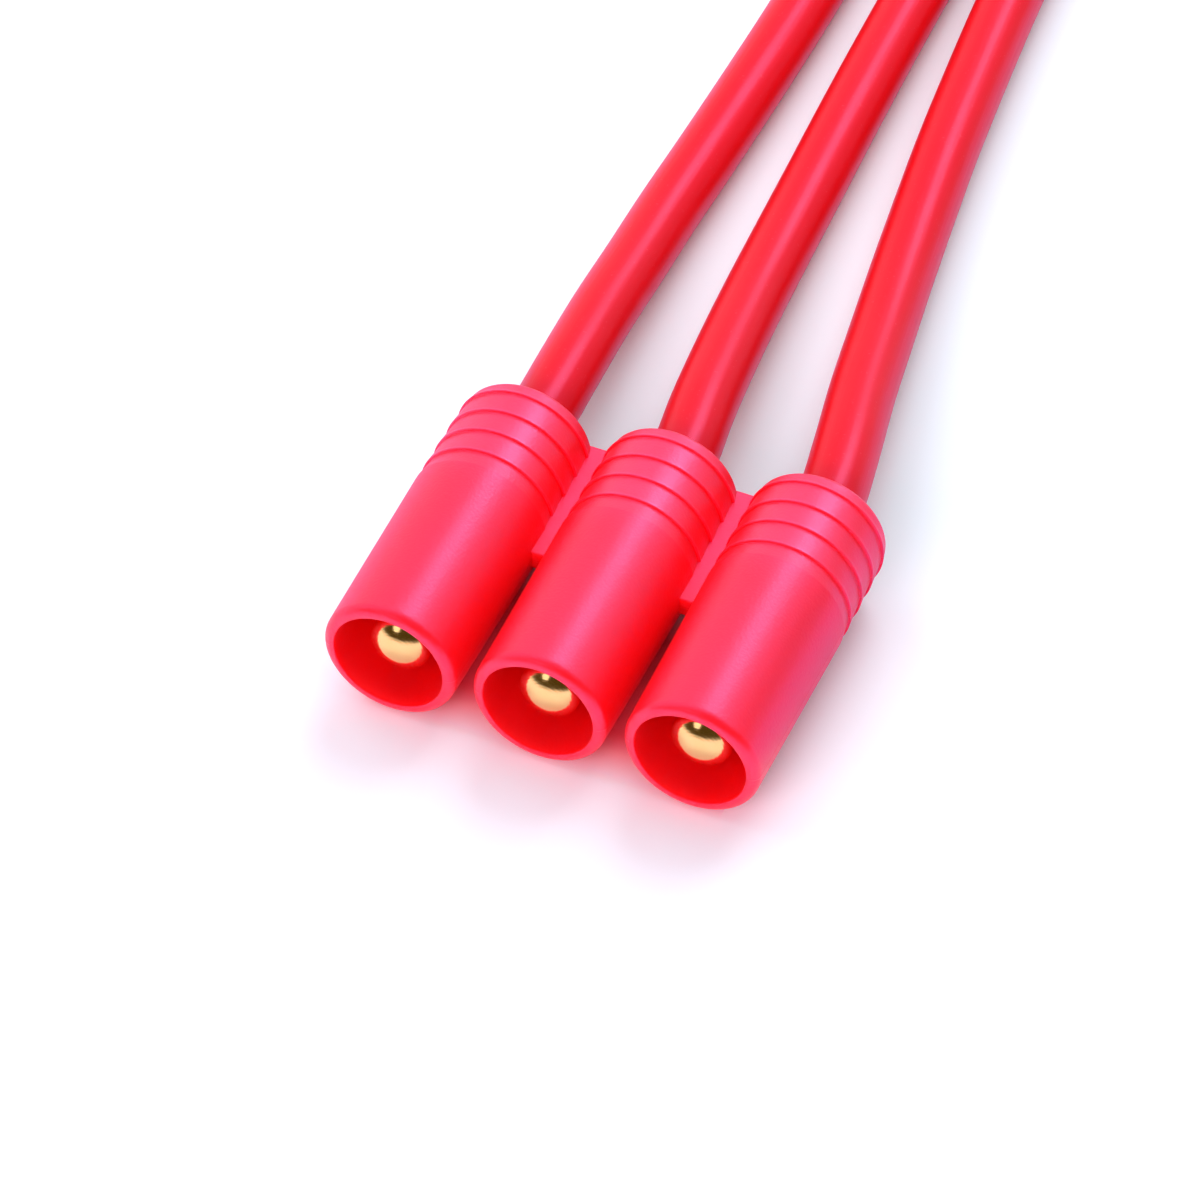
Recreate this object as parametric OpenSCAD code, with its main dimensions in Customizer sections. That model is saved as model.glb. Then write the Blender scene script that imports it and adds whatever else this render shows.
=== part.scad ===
// Three-pole shrouded bullet connector with silicone leads.
// Millimetres. X runs across the poles, Y from the mouths to the leads, Z up from the table.
// The origin is under the middle of the housing, on the table.

/* [Housing] */
// Distance between neighbouring poles
pole_pitch = 8.35; // [8.1:0.05:10]
// Outside diameter of each barrel at its mouth
barrel_d = 7.4; // [7:0.1:7.9]
// Length of the barrels, from the mouth to the rear end
housing_length = 18; // [17.2:0.2:22]
// Bore of the open shroud round each plug
shroud_d = 6.1; // [5.2:0.1:6.4]
// Depth of the shroud, from the mouth to the partition
shroud_depth = 10.2; // [9.4:0.1:11]
// Thickness of the partition that each contact is drawn up against
partition_t = 1.2; // [0.8:0.1:1.6]
// Rounding of the mouth's outer edge, as far as the wall allows
mouth_round = 0.5; // [0.2:0.05:0.6]
// Chamfer on the mouth's inner edge
mouth_chamfer = 0.1; // [0.05:0.05:0.2]
// Rounding of the barrels' rear end
rear_round = 0.45; // [0.2:0.05:0.6]
// Chamfer of the rear opening that guides the contact in
rear_chamfer = 0.3; // [0.1:0.05:0.4]

/* [Grip rings] */
// How much wider the barrels are over the rings than at the mouth, from the mould's draft
grip_draft = 0.3; // [0.1:0.05:0.4]
// Number of tapered rings round the rear of each barrel
ring_count = 4; // [2:1:5]
// Distance between the shoulders of neighbouring rings
ring_pitch = 1.55; // [1.2:0.05:1.7]
// Length of the rearmost ring
rear_ring = 1; // [0.8:0.1:1.6]
// Height of each ring's shoulder
ring_step = 0.15; // [0.1:0.05:0.3]
// Length over which the last taper runs out to the plain barrel
run_out = 1; // [0.5:0.1:1.5]

/* [Webs] */
// Thickness of the two webs that join the barrels
web_t = 1.2; // [0.8:0.1:2.4]
// Length of the webs along the barrels
web_length = 8.4; // [5:0.2:12]
// Distance of the webs from the barrels' rear end
web_setback = 0.05; // [0:0.05:1]

/* [Contact] */
// Length of the plug, from the collar to the tip of the nose
plug_length = 10.8; // [10.2:0.05:11.2]
// Diameter of the domed nose
nose_d = 3.3; // [3:0.1:3.4]
// Length of the nose, from its tip to the spring cage
nose_length = 1.8; // [1.5:0.1:2.2]
// Radius of curvature of the nose's dome
dome_r = 2.1; // [1.8:0.1:3]
// Rounding between the nose's dome and its side
nose_edge = 0.5; // [0.2:0.05:0.8]
// Diameter of the spindle inside the spring cage
spindle_d = 1.8; // [1.2:0.1:2]
// Diameter of the shank behind the spring cage
shank_d = 3.5; // [2.8:0.1:3.6]
// Diameter of the collar that seats on the partition
collar_d = 4.6; // [4.3:0.1:4.8]
// Thickness of the collar
collar_t = 0.8; // [0.5:0.1:1.2]
// Outside diameter of the solder cup
cup_d = 4; // [3.6:0.1:4.2]
// Bore of the solder cup
cup_bore_d = 2.8; // [2.3:0.1:3.3]
// Length of the solder cup behind the collar
cup_length = 4.55; // [3.5:0.05:5]
// Thickness of the solder cup's floor
cup_floor = 0.4; // [0.2:0.1:0.8]
// Diameter of the window through which solder is fed
window_d = 1; // [0.6:0.1:1.4]
// Chamfer on the turned edges
edge_chamfer = 0.15; // [0.05:0.05:0.2]

/* [Spring cage] */
// Diameter over the crest of the sprung leaves
plug_d = 3.5; // [3.1:0.1:3.8]
// Thickness of the spring strip
leaf_t = 0.2; // [0.1:0.05:0.25]
// Number of leaves
leaf_count = 8; // [6:1:10]
// Width of the slots between the leaves
slot_w = 0.3; // [0.15:0.05:0.35]
// Length of the cage
cage_length = 6.1; // [5:0.1:7]
// Length of the plain band at each end
band_length = 0.6; // [0.4:0.1:1]
// Length of the straight crest at the middle of the leaves
crest_length = 1.6; // [1:0.1:2]

/* [Leads] */
// Outside diameter of the insulation
wire_d = 3.65; // [3:0.05:4]
// Diameter of the stranded conductor
conductor_d = 1.85; // [1.2:0.05:2.2]
// Length of the stripped and tinned end
bare_length = 5; // [3:0.5:8]
// Chamfer of the tinned end
tip_chamfer = 0.2; // [0.1:0.05:0.4]

/* [Fits] */
// Radial clearance of each contact in the housing
contact_clearance = 0.1; // [0.05:0.05:0.2]
// Radial clearance of the spring cage on its spindle
cage_clearance = 0.05; // [0.02:0.01:0.1]
// End float of the spring cage between nose and shank
cage_float = 0.2; // [0.05:0.05:0.4]
// End float of the collar in front of the snap lip
collar_float = 0.1; // [0.05:0.05:0.3]
// Length of the snap lip behind the collar
lip_length = 0.5; // [0.3:0.1:0.8]
// Length of the cone that leads the collar over the snap lip
lip_lead = 0.5; // [0.3:0.1:0.8]
// Gap between the conductor's front end and the cup's floor
solder_bed = 0.4; // [0.2:0.1:0.8]
// Gap between the lying leads and the table
lay_gap = 0.05; // [0.02:0.01:0.1]

/* [Hidden] */

$fn = 64;
LEFT = -1;
CENTRE = 0;
RIGHT = 1;
POLES = [LEFT, CENTRE, RIGHT];

PLASTIC = "#e8284a";
GOLD = "#e3b85c";
SOLDER = "#b9bcc0";
TINNED_COPPER = "#c9b9a8";
SILICONE = "#e01f35";

// How far a cutting shape reaches past the face that it opens
past = 0.5;

barrel_r = barrel_d / 2;
grip_r = (barrel_d + grip_draft) / 2;
ring_root_r = grip_r - ring_step;
axis_z = grip_r;
mouth_y = -housing_length / 2;

// Stations along a pole, measured back from the mouth
seat_s = shroud_depth + partition_t;
tip_s = seat_s - plug_length;
nose_back_s = tip_s + nose_length;
shank_front_s = nose_back_s + cage_length + cage_float;
cup_front_s = seat_s + collar_t;
cup_end_s = cup_front_s + cup_length;
lip_front_s = cup_front_s + collar_float;
lip_back_s = lip_front_s + lip_length;

// Bores inside each barrel
shroud_r = shroud_d / 2;
partition_r = max(plug_d, shank_d) / 2 + contact_clearance;
rear_bore_r = collar_d / 2 + contact_clearance;
lip_r = cup_d / 2 + contact_clearance;

// Route of the leads behind the solder cups: distance, sideways shift of the left, centre and
// right lead, and height as a share of the drop from the barrels' axis to the table
LEAD_ROUTE = [
    [0, 0, 0, 0, 1],
    [3, 0, -0.2, -0.2, 1],
    [7, -0.2, -0.8, -0.9, 0.87],
    [12, -0.5, -1.4, -1.9, 0.58],
    [17, -0.65, -1.9, -2.75, 0.28],
    [22, -0.75, -2.25, -3.55, 0.08],
    [27, -0.65, -2.5, -4.25, 0],
    [33, -0.5, -2.75, -5, 0],
    [39, -0.4, -2.95, -5.6, 0],
    [46, -0.4, -3.1, -6.2, 0],
    [54, -0.4, -3.2, -6.7, 0],
    [63, -0.4, -3.3, -7, 0],
    [73, -0.4, -3.3, -7.15, 0],
    [84, -0.4, -3.3, -7.2, 0],
    [96, -0.4, -3.3, -7.2, 0],
];
LEAD_SIDES = 8;
lead_start_y = mouth_y + cup_end_s;
lead_rest_z = wire_d / 2 + lay_gap;

function lead_point(row, pole) = [
    pole * pole_pitch + row[2 + pole],
    lead_start_y + row[0],
    lead_rest_z + row[4] * (axis_z - lead_rest_z),
];
function lead_points(pole) = [for (row = LEAD_ROUTE) lead_point(row, pole)];
function lead_end(pole) = lead_point(LEAD_ROUTE[len(LEAD_ROUTE) - 1], pole);

// Direction of a lead at one of its points: straight along Y at both ends
function heading(points, i) =
    i == 0 || i == len(points) - 1
        ? [0, 1, 0]
        : (points[i + 1] - points[i - 1]) / norm(points[i + 1] - points[i - 1]);

// One ring of corners round a point, square to the heading
function ring(point, way, r) =
    let (side = cross(way, [0, 0, 1]) / norm(cross(way, [0, 0, 1])), up = cross(side, way))
    [for (k = [0 : LEAD_SIDES - 1])
        let (a = k * 360 / LEAD_SIDES)
        point + r * (cos(a) * side + sin(a) * up)];

function sleeve(points, r) = [for (i = [0 : len(points) - 1]) each ring(points[i], heading(points, i), r)];

// Triangles of the wall between the rings of a sleeve, facing away from its axis
function wall(ring_total) = [
    for (j = [0 : ring_total - 2], k = [0 : LEAD_SIDES - 1])
        let (
            here = j * LEAD_SIDES, next = here + LEAD_SIDES, m = (k + 1) % LEAD_SIDES,
            a = here + k, b = here + m, c = next + m, d = next + k
        )
        each [[a, b, c], [a, c, d]]
];
function shifted(faces, by) = [for (f = faces) [for (v = f) v + by]];
function flipped(faces) = [for (f = faces) [for (i = [len(f) - 1 : -1 : 0]) f[i]]];

// Flat ring of triangles between an outer and an inner ring of corners, facing back along the sleeve
function annulus(outer, inner) = [
    for (k = [0 : LEAD_SIDES - 1])
        let (m = (k + 1) % LEAD_SIDES)
        each [[outer + k, inner + k, inner + m], [outer + k, inner + m, outer + m]]
];

// Solid rod along a route
module swept_rod(points, r) {
    last = (len(points) - 1) * LEAD_SIDES;
    front_cap = [[for (k = [LEAD_SIDES - 1 : -1 : 0]) k]];
    polyhedron(sleeve(points, r), concat(wall(len(points)), front_cap, shifted(flipped(front_cap), last)));
}

// Hollow tube along a route
module swept_tube(points, outer_r, inner_r) {
    corners = len(points) * LEAD_SIDES;
    last = corners - LEAD_SIDES;
    polyhedron(
        concat(sleeve(points, outer_r), sleeve(points, inner_r)),
        concat(
            wall(len(points)),
            shifted(flipped(wall(len(points))), corners),
            annulus(0, corners),
            flipped(annulus(last, corners + last))
        )
    );
}

// Puts a shape that is drawn along Z from the mouth plane onto the axis of one pole
module on_pole(pole) {
    translate([pole * pole_pitch, mouth_y, axis_z]) rotate([-90, 0, 0]) children();
}

// What is cut off the upper right corner of a profile to round it, drawn about the arc's centre
module corner_waste(r) {
    difference() {
        square(r + past);
        circle(r);
    }
}

// Outside of one barrel: a shroud that widens slightly, then rings that flare forward to a sharp shoulder
module barrel_outside() {
    shoulders = [for (i = [0 : ring_count - 1]) housing_length - rear_ring - i * ring_pitch];
    rings = [for (s = shoulders) each [[grip_r, s], [ring_root_r, s]]];
    mouth_edge_r = min(mouth_round, barrel_r - shroud_r - mouth_chamfer);
    rotate_extrude() difference() {
        polygon(concat(
            [[0, housing_length], [ring_root_r, housing_length], [ring_root_r, housing_length - rear_round]],
            rings,
            [
                [grip_r, shoulders[ring_count - 1] - run_out],
                [barrel_r, mouth_edge_r],
                [barrel_r, 0],
                [0, 0],
            ]
        ));
        translate([ring_root_r - rear_round, housing_length - rear_round]) corner_waste(rear_round);
        translate([barrel_r - mouth_edge_r, mouth_edge_r]) mirror([0, 1]) corner_waste(mouth_edge_r);
    }
}

// Inside of one barrel: shroud, partition bore, snap lip and rear bore
module barrel_inside() {
    rotate_extrude() polygon([
        [0, -past],
        [shroud_r + mouth_chamfer + past, -past],
        [shroud_r, mouth_chamfer],
        [shroud_r, shroud_depth],
        [partition_r, shroud_depth],
        [partition_r, seat_s],
        [rear_bore_r, seat_s],
        [rear_bore_r, lip_front_s],
        [lip_r, lip_front_s],
        [lip_r, lip_back_s],
        [rear_bore_r, lip_back_s + lip_lead],
        [rear_bore_r, housing_length - rear_chamfer],
        [rear_bore_r + rear_chamfer + past, housing_length + past],
        [0, housing_length + past],
    ]);
}

// Flat web between two neighbouring barrels
module web(side) {
    web_front_y = mouth_y + housing_length - web_setback - web_length;
    translate([side * pole_pitch / 2 - pole_pitch / 2, web_front_y, axis_z - web_t / 2])
        cube([pole_pitch, web_length, web_t]);
}

module housing() {
    color(PLASTIC) difference() {
        union() {
            for (pole = POLES) on_pole(pole) barrel_outside();
            for (side = [LEFT, RIGHT]) web(side);
        }
        for (pole = POLES) on_pole(pole) barrel_inside();
    }
}

// Turned contact: domed nose, spindle, shank, collar and solder cup
module contact(pole) {
    nose_r = nose_d / 2;
    // Middle of the arc that rounds the nose's edge, and the radius at which it meets the dome
    edge_mid_r = nose_r - nose_edge;
    edge_mid_s = tip_s + dome_r - sqrt(pow(dome_r - nose_edge, 2) - pow(edge_mid_r, 2));
    join_r = edge_mid_r * dome_r / (dome_r - nose_edge);
    spindle_r = spindle_d / 2;
    shank_r = shank_d / 2;
    collar_r = collar_d / 2;
    cup_r = cup_d / 2;
    cup_bore_r = cup_bore_d / 2;
    floor_s = cup_front_s + cup_floor;
    color(GOLD) on_pole(pole) difference() {
        rotate_extrude() {
            translate([0, tip_s + dome_r]) intersection() {
                circle(dome_r);
                translate([0, -dome_r]) square([join_r, edge_mid_s - tip_s]);
            }
            translate([edge_mid_r, edge_mid_s]) intersection() {
                circle(nose_edge);
                translate([0, -nose_edge]) square(nose_edge);
            }
            polygon([
                [0, edge_mid_s],
                [nose_r, edge_mid_s],
                [nose_r, nose_back_s],
                [spindle_r, nose_back_s],
                [spindle_r, shank_front_s],
                [shank_r - edge_chamfer, shank_front_s],
                [shank_r, shank_front_s + edge_chamfer],
                [shank_r, seat_s],
                [collar_r - edge_chamfer, seat_s],
                [collar_r, seat_s + edge_chamfer],
                [collar_r, cup_front_s],
                [cup_r, cup_front_s],
                [cup_r, cup_end_s - edge_chamfer],
                [cup_r - edge_chamfer, cup_end_s],
                [cup_bore_r, cup_end_s],
                [cup_bore_r, floor_s],
                [0, floor_s],
            ]);
        }
        translate([0, 0, (floor_s + cup_end_s) / 2]) rotate([90, 0, 0]) cylinder(d = window_d, h = cup_r + past);
    }
}

// Radius of the cage's leaves at a share of the rise from band to crest: a smooth S
function leaf_r(band_r, share) = band_r + (plug_d / 2 - leaf_t - band_r) * (1 - cos(180 * share)) / 2;

// Lantern spring rolled from slotted strip: one slot runs right through as the seam
module spring_cage(pole) {
    front_s = nose_back_s + cage_float / 2;
    back_s = front_s + cage_length;
    flare_length = (cage_length - crest_length) / 2 - band_length;
    band_r = spindle_d / 2 + cage_clearance;
    flare_steps = 6;
    shares = [for (i = [0 : flare_steps]) i / flare_steps];
    rise = [for (t = shares) [leaf_r(band_r, t), front_s + band_length + t * flare_length]];
    fall = [for (t = shares) [leaf_r(band_r, 1 - t), back_s - band_length - flare_length + t * flare_length]];
    inside = concat([[band_r, front_s]], rise, fall, [[band_r, back_s]]);
    outside = [for (p = inside) p + [leaf_t, 0]];
    color(GOLD) on_pole(pole) difference() {
        rotate_extrude() polygon(concat(outside, flipped([inside])[0]));
        for (leaf = [0 : leaf_count - 1]) rotate([0, 0, leaf * 360 / leaf_count]) {
            seam = leaf == 0;
            slot_front_s = seam ? front_s - past : front_s + band_length;
            slot_back_s = seam ? back_s + past : back_s - band_length;
            translate([0, -slot_w / 2, slot_front_s]) cube([plug_d, slot_w, slot_back_s - slot_front_s]);
        }
    }
}

// Solder that fills the cup round the end of the conductor
module solder_joint(pole) {
    floor_s = cup_front_s + cup_floor;
    color(SOLDER) on_pole(pole) rotate_extrude() polygon([
        [0, floor_s],
        [cup_bore_d / 2, floor_s],
        [cup_bore_d / 2, cup_end_s],
        [conductor_d / 2, cup_end_s],
        [conductor_d / 2, floor_s + solder_bed],
        [0, floor_s + solder_bed],
    ]);
}

// Stranded conductor from the solder cup to the tinned end, as one bundle
module conductor(pole) {
    conductor_r = conductor_d / 2;
    front_s = cup_front_s + cup_floor + solder_bed;
    color(TINNED_COPPER) {
        on_pole(pole) translate([0, 0, front_s]) cylinder(r = conductor_r, h = cup_end_s - front_s);
        swept_rod(lead_points(pole), conductor_r);
        translate(lead_end(pole)) rotate([-90, 0, 0]) rotate_extrude() polygon([
            [0, 0],
            [conductor_r, 0],
            [conductor_r, bare_length - tip_chamfer],
            [conductor_r - tip_chamfer, bare_length],
            [0, bare_length],
        ]);
    }
}

// Silicone insulation, pushed up against the solder cup
module insulation(pole) {
    color(SILICONE) swept_tube(lead_points(pole), wire_d / 2, conductor_d / 2);
}

housing();
contact(LEFT);  // contact_left
contact(CENTRE);  // contact_centre
contact(RIGHT);  // contact_right
spring_cage(LEFT);  // spring_cage_left
spring_cage(CENTRE);  // spring_cage_centre
spring_cage(RIGHT);  // spring_cage_right
solder_joint(LEFT);  // solder_joint_left
solder_joint(CENTRE);  // solder_joint_centre
solder_joint(RIGHT);  // solder_joint_right
conductor(LEFT);  // conductor_left
conductor(CENTRE);  // conductor_centre
conductor(RIGHT);  // conductor_right
insulation(LEFT);  // insulation_left
insulation(CENTRE);  // insulation_centre
insulation(RIGHT);  // insulation_right
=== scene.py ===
# %% [markdown]
# # A three-pole bullet connector with silicone leads
# The real thing is a red moulding a little over 24 mm wide. Three round barrels stand side by side, each
# with a gold spring plug in its open front end and a soft silicone lead coming out of its ringed rear end.
# The solids come from the imported frame. This lesson gives them the surfaces that a close camera shows:
# rounded moulded edges, turned and plated metal, twisted strands and rubbery insulation. The frame is
# loaded first. What is built here may not grow past it.

# %% Load the frame
import math

import bmesh
import bpy
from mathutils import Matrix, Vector


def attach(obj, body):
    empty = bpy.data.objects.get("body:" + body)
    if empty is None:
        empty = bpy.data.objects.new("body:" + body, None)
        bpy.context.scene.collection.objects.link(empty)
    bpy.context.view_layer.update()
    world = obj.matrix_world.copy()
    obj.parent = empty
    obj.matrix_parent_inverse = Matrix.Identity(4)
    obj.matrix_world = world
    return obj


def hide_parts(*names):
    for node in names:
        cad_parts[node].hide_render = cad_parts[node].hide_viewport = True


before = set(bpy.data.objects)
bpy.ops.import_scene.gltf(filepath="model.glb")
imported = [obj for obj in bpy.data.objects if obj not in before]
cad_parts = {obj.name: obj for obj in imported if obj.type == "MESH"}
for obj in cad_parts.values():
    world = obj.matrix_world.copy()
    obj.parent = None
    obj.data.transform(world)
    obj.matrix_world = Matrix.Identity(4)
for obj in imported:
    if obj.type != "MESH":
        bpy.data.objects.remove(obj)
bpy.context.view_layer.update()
scene = bpy.context.scene
MM = 0.001


# %% [markdown]
# ## The camera
# The picture looks down on the row from the front right with a long lens, so the barrels stay nearly
# parallel. The camera stands at a measured place, and two angles say which way it looks. Angles are easier
# to reason about than a rotation set by eye, and the first one is needed again for the light. Depth of
# field stays off, so every part is sharp from every side.

# %% Camera
AZIMUTH, ELEVATION = math.radians(23.348), math.radians(46.970)
to_camera = Vector((
    math.sin(AZIMUTH) * math.cos(ELEVATION),
    -math.cos(AZIMUTH) * math.cos(ELEVATION),
    math.sin(ELEVATION),
))
camera = bpy.data.objects.new("studio_camera", bpy.data.cameras.new("studio_camera"))
camera.data.sensor_width = 36
camera.data.lens = 158.72
camera.location = (0.073701, -0.171719, 0.203451)
camera.rotation_mode = "QUATERNION"
camera.rotation_quaternion = (-to_camera).to_track_quat("-Z", "Y")
scene.collection.objects.link(camera)
scene.camera = camera
scene.view_settings.view_transform = "Standard"
print("camera stands", round(camera.location.length / MM), "mm from the housing")

# %% [markdown]
# ## Node trees as Python sums
# Geometry Nodes and materials are both node trees, and wiring them line by line is hard to read. Two small
# classes help. A Board adds a node from its type, its settings and its sockets. A Value is an output of a
# node that can stand in a sum: writing 1 - mask adds the Math node for it. Colours never go through these
# sums, because a Math node turns a colour grey; they go through a Mix node instead.

# %% A value that can stand in a sum
class Value:
    """An output of a node. Sums of values add Math nodes."""

    def __init__(self, board, socket):
        self.board, self.socket = board, socket

    def out(self, name):
        return Value(self.board, self.board.pick(self.socket.node.outputs, name))

    def maths(self, operation, *terms):
        return self.board.node("ShaderNodeMath", {"operation": operation}, dict(enumerate(terms)))

    def __add__(self, other):
        return self.maths("ADD", self, other)

    def __radd__(self, other):
        return self.maths("ADD", other, self)

    def __sub__(self, other):
        return self.maths("SUBTRACT", self, other)

    def __rsub__(self, other):
        return self.maths("SUBTRACT", other, self)

    def __mul__(self, other):
        return self.maths("MULTIPLY", self, other)

    def __rmul__(self, other):
        return self.maths("MULTIPLY", other, self)

    def __truediv__(self, other):
        return self.maths("DIVIDE", self, other)

    def __mod__(self, other):
        return self.maths("FLOORED_MODULO", self, other)

    def __abs__(self):
        return self.maths("ABSOLUTE", self)

    def __lt__(self, other):
        return self.maths("LESS_THAN", self, other)

    def __gt__(self, other):
        return self.maths("GREATER_THAN", self, other)

    def sine(self):
        return self.maths("SINE", self)


print("ready:", Value.__name__)

# %% A board that adds nodes
class Board:
    """A node tree and the one way in which nodes are added to it."""

    def __init__(self, tree):
        self.tree = tree

    def pick(self, sockets, name):
        """A socket by its number, its identifier or its name."""
        if isinstance(name, int):
            return sockets[name]
        return next(s for s in sockets if s.identifier == name or (s.name == name and s.enabled))

    def plug(self, node, name, value):
        """Links values to a socket, or sets a plain number or colour on it."""
        socket = self.pick(node.inputs, name)
        for one in value if isinstance(value, list) else [value]:
            if isinstance(one, Value):
                self.tree.links.new(one.socket, socket)
            else:
                socket.default_value = one

    def node(self, kind, settings=None, sockets=None, out=0):
        """Adds a node and returns one of its outputs."""
        made = self.tree.nodes.new(kind)
        for name, value in (settings or {}).items():
            setattr(made, name, value)
        for name, value in (sockets or {}).items():
            self.plug(made, name, value)
        return Value(self, self.pick(made.outputs, out))

    def between(self, value, low, high):
        """0 below low, 1 above high and a soft step between them."""
        sockets = {"Value": value, "From Min": low, "From Max": high}
        return self.node("ShaderNodeMapRange", {"interpolation_type": "SMOOTHSTEP"}, sockets)

    def tint(self, share, first, second):
        """The first colour, with that share of the second."""
        sockets = {"Factor_Float": share, "A_Color": first, "B_Color": second}
        return self.node("ShaderNodeMix", {"data_type": "RGBA"}, sockets, "Result_Color")


print("ready:", Board.__name__)

# %% Trees that make geometry
class Maker(Board):
    """A Geometry Nodes tree with named inputs, which ends in Realize Instances and Set Material."""

    KINDS = {
        "Geometry": "NodeSocketGeometry", "Material": "NodeSocketMaterial",
        int: "NodeSocketInt", float: "NodeSocketFloat",
    }

    def __init__(self, name, **inputs):
        super().__init__(bpy.data.node_groups.new(name, "GeometryNodeTree"))
        face = self.tree.interface
        face.new_socket("Geometry", in_out="INPUT", socket_type=self.KINDS["Geometry"])
        face.new_socket("Finish", in_out="INPUT", socket_type=self.KINDS["Material"])
        for label, kind in inputs.items():
            face.new_socket(label, in_out="INPUT", socket_type=self.KINDS[kind])
        face.new_socket("Geometry", in_out="OUTPUT", socket_type=self.KINDS["Geometry"])
        self.start = self.node("NodeGroupInput")

    def given(self, name):
        return self.start.out(name)

    def end(self, geometry):
        solid = self.node("GeometryNodeRealizeInstances", None, {"Geometry": geometry})
        smooth = self.node("GeometryNodeSetShadeSmooth", None, {"Geometry": solid})
        painted = {"Geometry": smooth, "Material": self.given("Finish")}
        painted = self.node("GeometryNodeSetMaterial", None, painted)
        self.plug(self.tree.nodes.new("NodeGroupOutput"), "Geometry", painted)
        return self


print("ready:", Maker.__name__)

# %% [markdown]
# ## From a tree to a plain mesh
# A finished piece is a plain mesh with no modifier left on it. So a tree runs as a modifier on a seed
# object, its named inputs are set by their identifiers, and new_from_object takes the result out as a mesh
# of its own. Applying the modifier by an operator would give the same mesh, but an operator needs the right
# object to be selected, and a script is safer without that.

# %% From a tree to a plain mesh
def place(name, held):
    """An object at the origin that holds a mesh or a lamp."""
    thing = bpy.data.objects.new(name, held)
    scene.collection.objects.link(thing)
    return thing


def as_mesh(name, made):
    """A mesh from a finished bmesh, which is then freed."""
    mesh = bpy.data.meshes.new(name)
    made.to_mesh(mesh)
    made.free()
    return mesh


def plain_mesh(name, source):
    """A new object with the evaluated mesh of another, which is then removed with its modifiers."""
    depsgraph = bpy.context.evaluated_depsgraph_get()
    mesh = bpy.data.meshes.new_from_object(
        source.evaluated_get(depsgraph), preserve_all_data_layers=True, depsgraph=depsgraph
    )
    bpy.data.objects.remove(source)
    mesh.name = name
    return place(name, mesh)


def grow(name, maker, mesh, finish, **sizes):
    """Runs a tree on a mesh and returns the result as a plain mesh object."""
    seed = place(name + "_seed", mesh)
    modifier = seed.modifiers.new("grow", "NODES")
    modifier.node_group = maker.tree
    values = {"Finish": finish, **sizes}
    for item in maker.tree.interface.items_tree:
        if item.in_out == "INPUT" and item.name in values:
            modifier[item.identifier] = values[item.name]
    return plain_mesh(name, seed)


def crease(piece, degrees=35):
    """Leaves an edge sharp where its faces meet at more than this angle."""
    piece.data.set_sharp_from_angle(angle=math.radians(degrees))


print("ready:", ", ".join(f.__name__ for f in (place, as_mesh, plain_mesh, grow, crease)))

# %% [markdown]
# ## A finish
# A finish is a material whose one Principled shader is fed by a Board. What stays the same all over a
# surface is set on the shader's own socket. What changes over the surface reaches only the colour, the
# roughness or the normal, so that the look can be baked later.

# %% A finish and its usual parts
def colour(red, green, blue):
    return (red, green, blue, 1.0)


class Finish(Board):
    """A material with one Principled shader."""

    def __init__(self, name, **plain):
        self.material = bpy.data.materials.new(name)
        self.material.use_nodes = True
        super().__init__(self.material.node_tree)
        self.shader = self.tree.nodes["Principled BSDF"]
        for label, value in plain.items():
            self.plug(self.shader, label.replace("_", " "), value)

    def where(self):
        """The place on the object, in metres."""
        return self.node("ShaderNodeTexCoord", None, None, "Object")

    def noise(self, where, scale, detail):
        sockets = {"Vector": where, "Scale": scale, "Detail": detail}
        return self.node("ShaderNodeTexNoise", None, sockets, "Fac")

    def stretch(self, where, factors):
        return self.node("ShaderNodeVectorMath", {"operation": "MULTIPLY"}, {0: where, 1: factors})

    def length(self, vector):
        return self.node("ShaderNodeVectorMath", {"operation": "LENGTH"}, {0: vector}, "Value")

    def paint(self, base, roughness):
        self.plug(self.shader, "Base Color", base)
        self.plug(self.shader, "Roughness", roughness)

    def relief(self, height, depth):
        """A bump of that depth in metres."""
        bump = self.node("ShaderNodeBump", None, {"Height": height, "Distance": depth})
        self.plug(self.shader, "Normal", bump)


print("ready:", Finish.__name__)

# %% [markdown]
# ## The silicone leads
# Each lead is a soft rubbery tube, 3.65 mm across, which leaves its barrel straight, sinks to the table and
# drifts to the left. Its route could be drawn by hand as a Bezier curve. A short table is used instead,
# because it repeats the points of the solid lead, and a smooth curve through the same points lies where the
# solid lies.

# %% The route of each lead
POLES = {"left": -1, "centre": 0, "right": 1}
POLE_PITCH = 8.35 * MM
AXIS_Z = 3.85 * MM
LEAD_START_Y, LEAD_REST_Z = 7.75 * MM, 1.875 * MM
ROUTE_STEP = 1.0 * MM
# In millimetres: distance behind the solder cup, sideways shift of the left, centre and right lead; then the
# share of the height over the table that is left
LEAD_ROUTE = [
    (0, 0, 0, 0, 1), (3, 0, -0.2, -0.2, 1), (7, -0.2, -0.8, -0.9, 0.87), (12, -0.5, -1.4, -1.9, 0.58),
    (17, -0.65, -1.9, -2.75, 0.28), (22, -0.75, -2.25, -3.55, 0.08), (27, -0.65, -2.5, -4.25, 0),
    (33, -0.5, -2.75, -5, 0), (39, -0.4, -2.95, -5.6, 0), (46, -0.4, -3.1, -6.2, 0),
    (54, -0.4, -3.2, -6.7, 0), (63, -0.4, -3.3, -7, 0), (73, -0.4, -3.3, -7.15, 0),
    (84, -0.4, -3.3, -7.2, 0), (96, -0.4, -3.3, -7.2, 0),
]


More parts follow.
